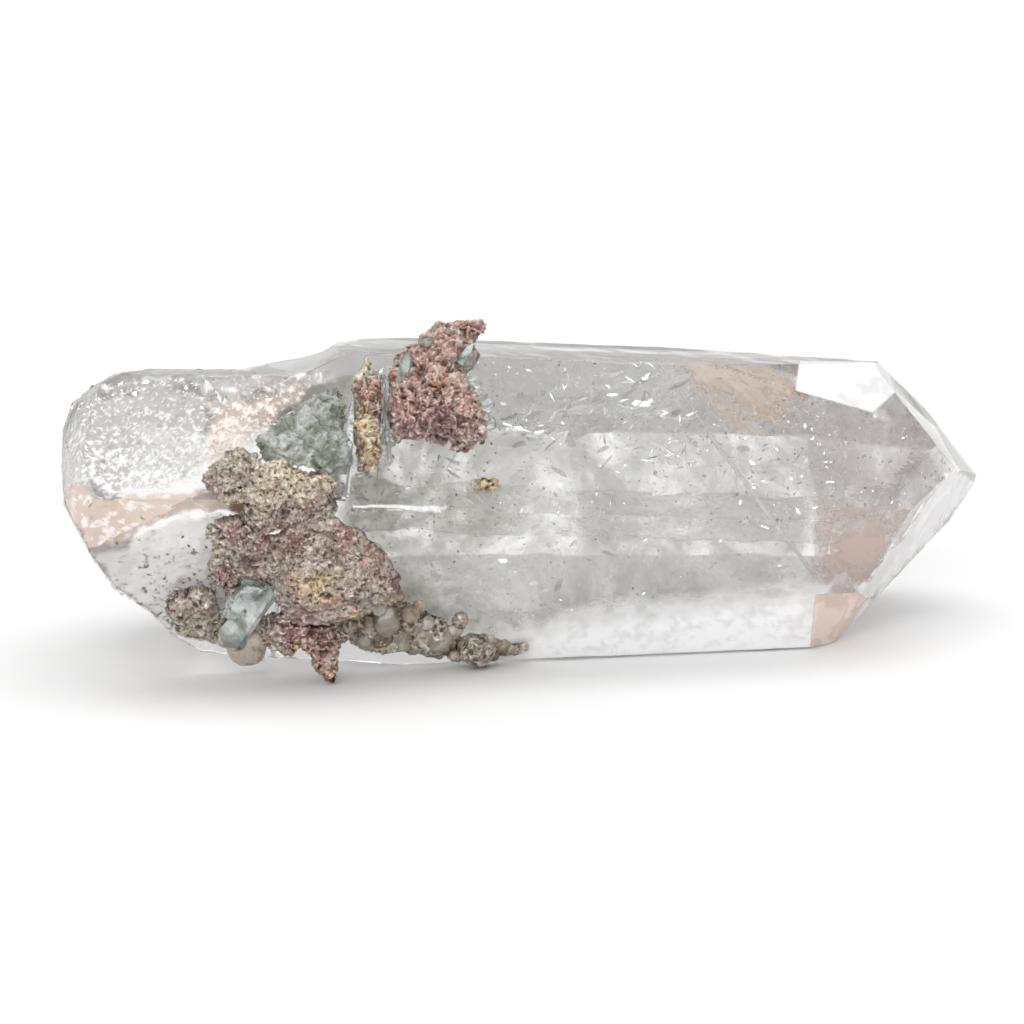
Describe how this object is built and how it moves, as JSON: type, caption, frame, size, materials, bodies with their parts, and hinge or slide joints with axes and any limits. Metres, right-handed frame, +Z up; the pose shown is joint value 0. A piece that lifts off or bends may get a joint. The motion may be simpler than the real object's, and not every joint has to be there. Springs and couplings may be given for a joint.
{
  "type": "included quartz crystal",
  "caption": "Clear six-sided quartz crystal with a pointed end, an etched broken base and rough coppery, golden and green mineral crusts on its front; lies on a side.",
  "frame": {"origin": "middle of the footprint on the floor the crystal lies on", "axes": "+X along the crystal towards its point, +Y away from the crusted front, +Z up"},
  "size_m": [0.1048, 0.0416, 0.0373],
  "materials": {
    "quartz_crystal": "clear, faintly cloudy, with etched and polished faces",
    "copper_crust": "rough, pink coppery crust with a dull metallic sheen",
    "gold_strip": "rough rusty and golden crust",
    "chlorite_wedge": "grey-green translucent",
    "golden_crust": "crumpled golden foil-like crust",
    "wine_dome": "rough wine-coloured crust with golden patches",
    "wine_bridge": "rough wine and pink crust",
    "green_shard": "grey-green, glassy",
    "tan_lens": "smooth, waxy, tan",
    "spike_crust": "rough pink-brown crust",
    "grain_crust": "brownish glassy grains",
    "skirt_druse": "green-brown druse",
    "round_grain": "smooth brown",
    "upper_bead": "rough brown",
    "lower_bead": "rough brown",
    "floor_grain": "rough olive",
    "clear_blade": "clear"
  },
  "bodies": {
    "root": {"quartz_crystal": "quartz_crystal", "copper_crust": "copper_crust", "gold_strip": "gold_strip", "chlorite_wedge": "chlorite_wedge", "golden_crust": "golden_crust", "wine_dome": "wine_dome", "wine_bridge": "wine_bridge", "green_shard": "green_shard", "tan_lens": "tan_lens", "spike_crust": "spike_crust", "grain_crust": "grain_crust", "skirt_druse": "skirt_druse", "round_grain": "round_grain", "upper_bead": "upper_bead", "lower_bead": "lower_bead", "floor_grain": "floor_grain", "clear_blade": "clear_blade"}
  },
  "joints": []
}
